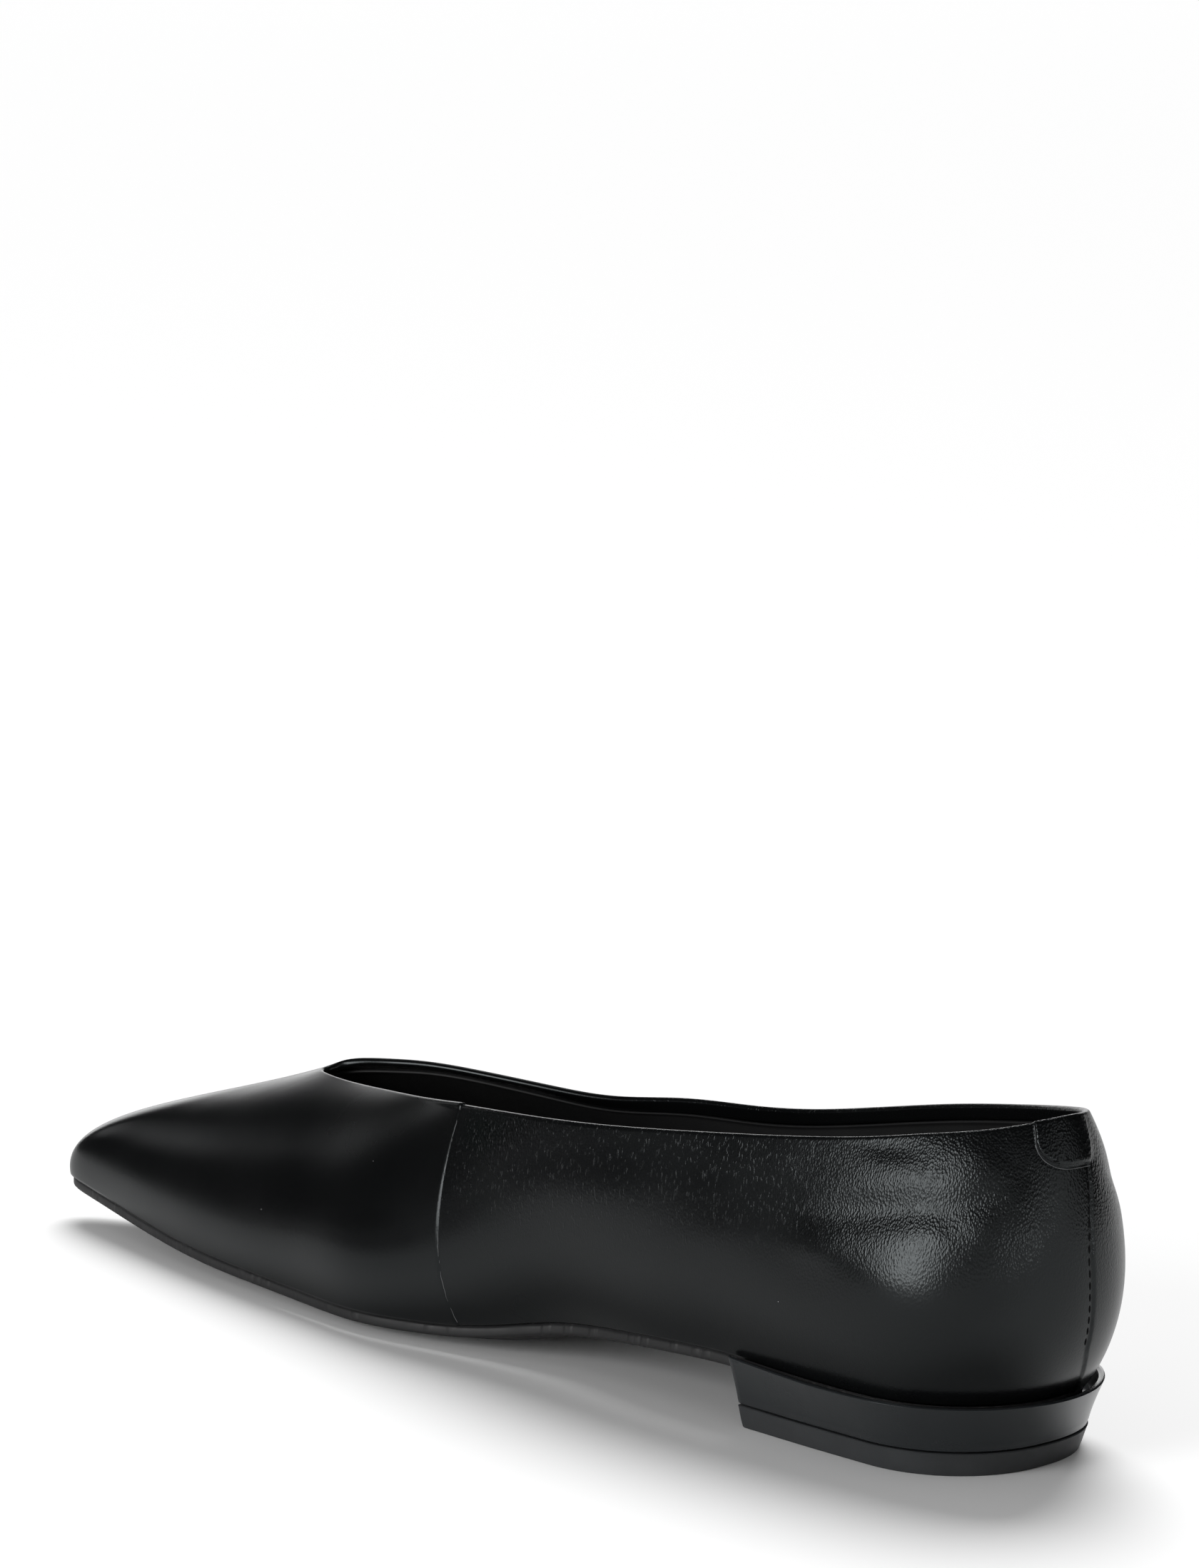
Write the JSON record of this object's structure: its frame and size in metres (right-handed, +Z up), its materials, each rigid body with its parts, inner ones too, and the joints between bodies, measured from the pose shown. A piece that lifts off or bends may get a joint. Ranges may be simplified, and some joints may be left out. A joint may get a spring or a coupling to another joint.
{
  "type": "pointed toe flat shoe",
  "caption": "Black smooth leather pointed toe flat shoe for the right foot, with a low wrapped heel, a rubber top piece and a strap end lapped over the back seam.",
  "frame": {"origin": "on the floor, on the heel's flat underside, under the centre of its round back", "axes": "+X to the toe, +Y to the inner side of the foot, +Z up"},
  "size_m": [0.278, 0.0691, 0.0699],
  "materials": {
    "upper_leather": "smooth black, semi-gloss, fine grain",
    "lining": "matte black",
    "sole_rubber": "matte black",
    "heel_wrap": "glossy black",
    "lift_rubber": "matte black"
  },
  "bodies": {
    "root": {"upper": "upper_leather", "back_tab": "upper_leather", "insole": "lining", "outsole": "sole_rubber", "heel": "heel_wrap", "heel_lift": "lift_rubber"}
  },
  "joints": []
}
